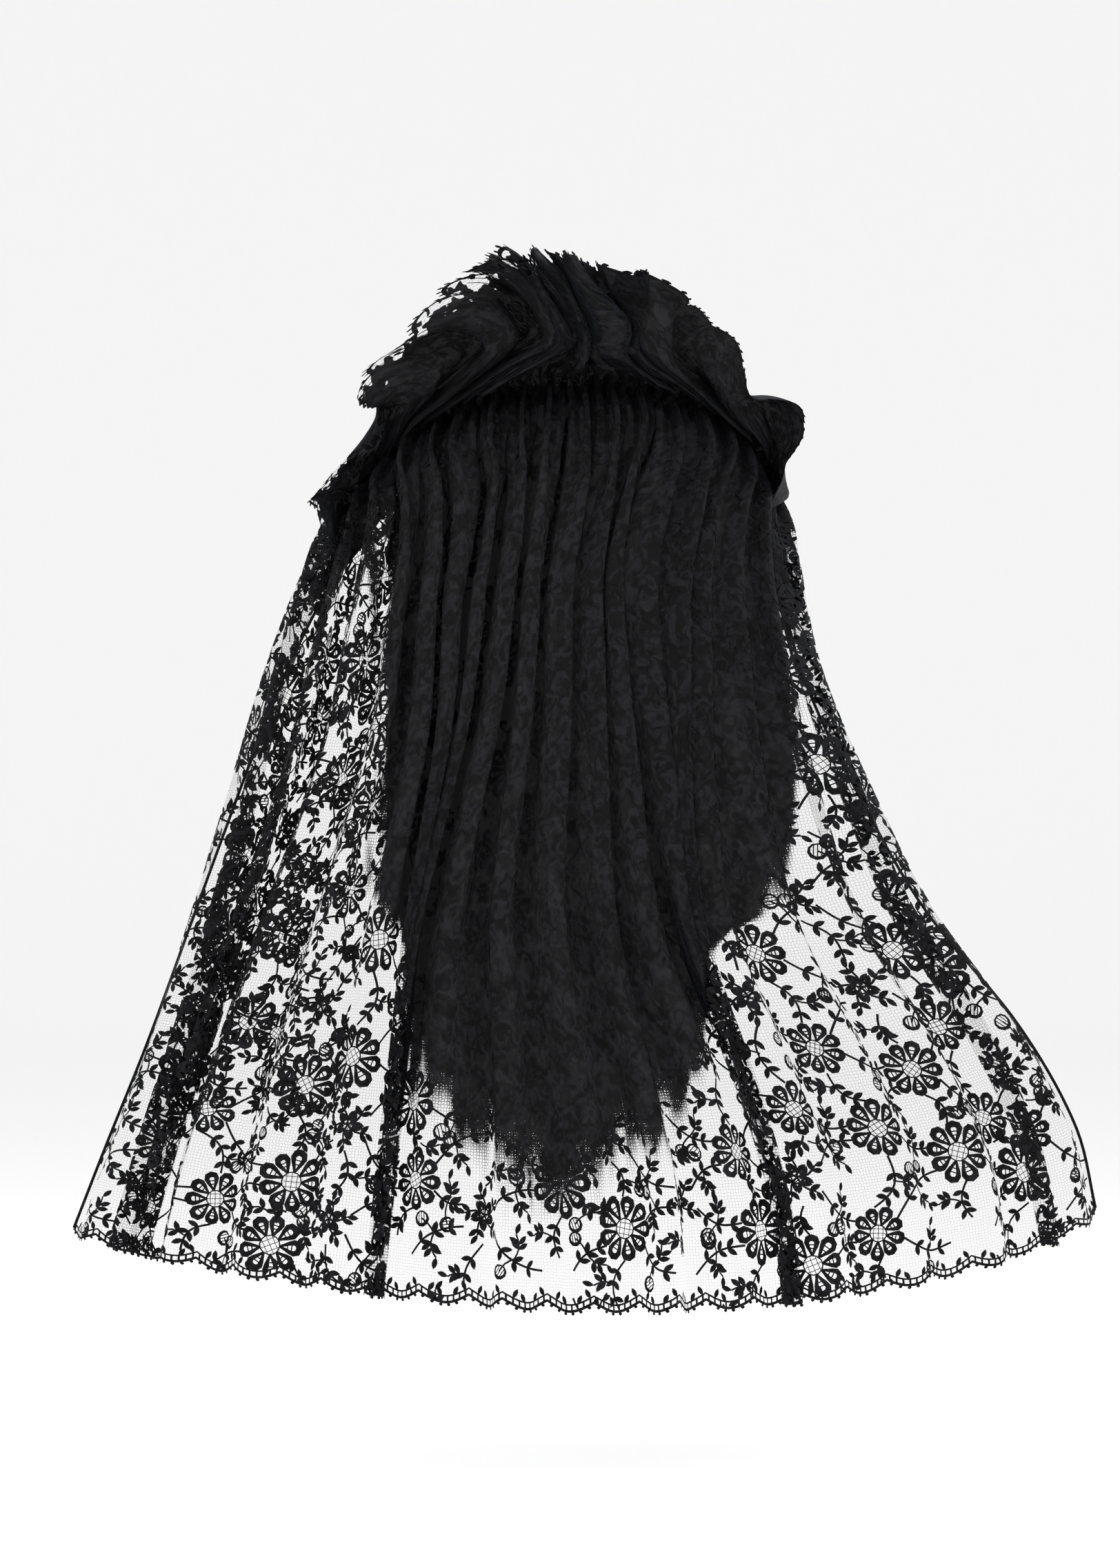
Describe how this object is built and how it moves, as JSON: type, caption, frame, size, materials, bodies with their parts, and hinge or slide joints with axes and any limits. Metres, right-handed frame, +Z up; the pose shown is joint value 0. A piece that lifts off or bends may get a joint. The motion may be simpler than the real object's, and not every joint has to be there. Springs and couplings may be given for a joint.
{
  "type": "lace mantilla veil",
  "caption": "Gathered black lace head veil, draped as worn, with a fluted frill over the crown and folds that open to the shoulders.",
  "frame": {"origin": "middle of the gathers on the crown of the head, where the comb holds the veil", "axes": "+Z up as worn, -Y away from the back of the head, +X to the right for a viewer behind the wearer"},
  "size_m": [0.4457, 0.1346, 0.4545],
  "materials": {
    "lace": "matte floral lace",
    "tape": "matte woven tape",
    "cord": "matte corded edge",
    "comb": "smooth moulded"
  },
  "bodies": {
    "root": {"veil_fall": "lace", "ruffle": "lace", "gathering_band": "tape", "selvage_left": "cord", "selvage_right": "cord", "hair_comb": "comb"}
  },
  "joints": []
}
